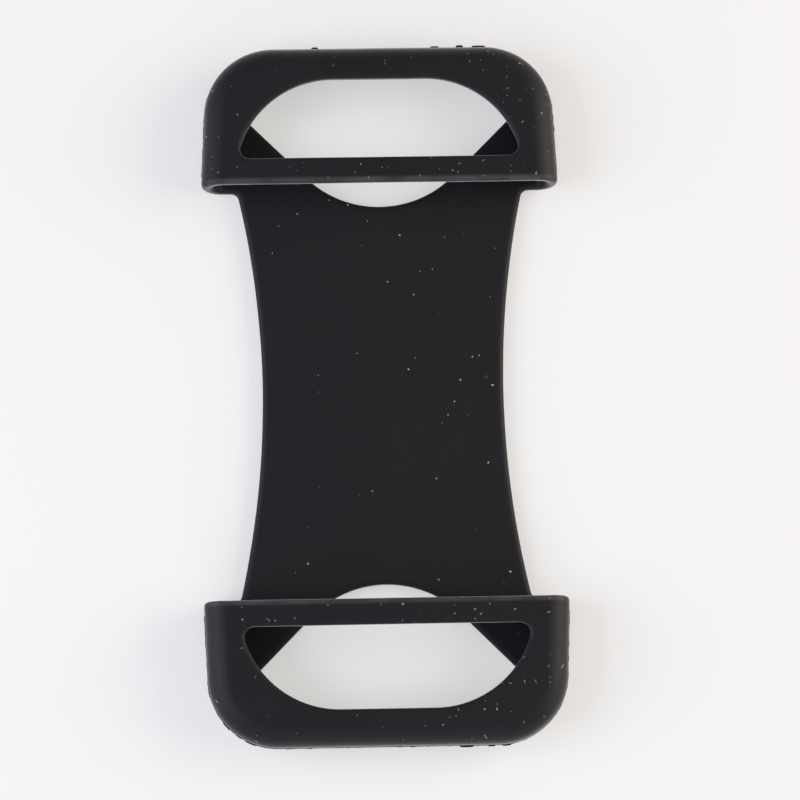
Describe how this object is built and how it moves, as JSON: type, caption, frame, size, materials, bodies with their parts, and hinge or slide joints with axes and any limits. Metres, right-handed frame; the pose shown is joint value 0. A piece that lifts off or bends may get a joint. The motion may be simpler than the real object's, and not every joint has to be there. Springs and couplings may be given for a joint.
{
  "type": "phone finger strap",
  "caption": "One-piece silicone phone strap: a pocket-like cap with a window at each end, joined behind the phone by a waisted panel for the fingers.",
  "frame": {"origin": "centre of the resting back face, midway between the two ends", "axes": "+X across the strap, +Y along it, +Z from the back panel up to the front windows"},
  "size_m": [0.0726, 0.1422, 0.011],
  "materials": {
    "silicone": "moulded black silicone rubber, matte with a dry, dusty feel"
  },
  "bodies": {
    "root": {"strap": "silicone"}
  },
  "joints": []
}
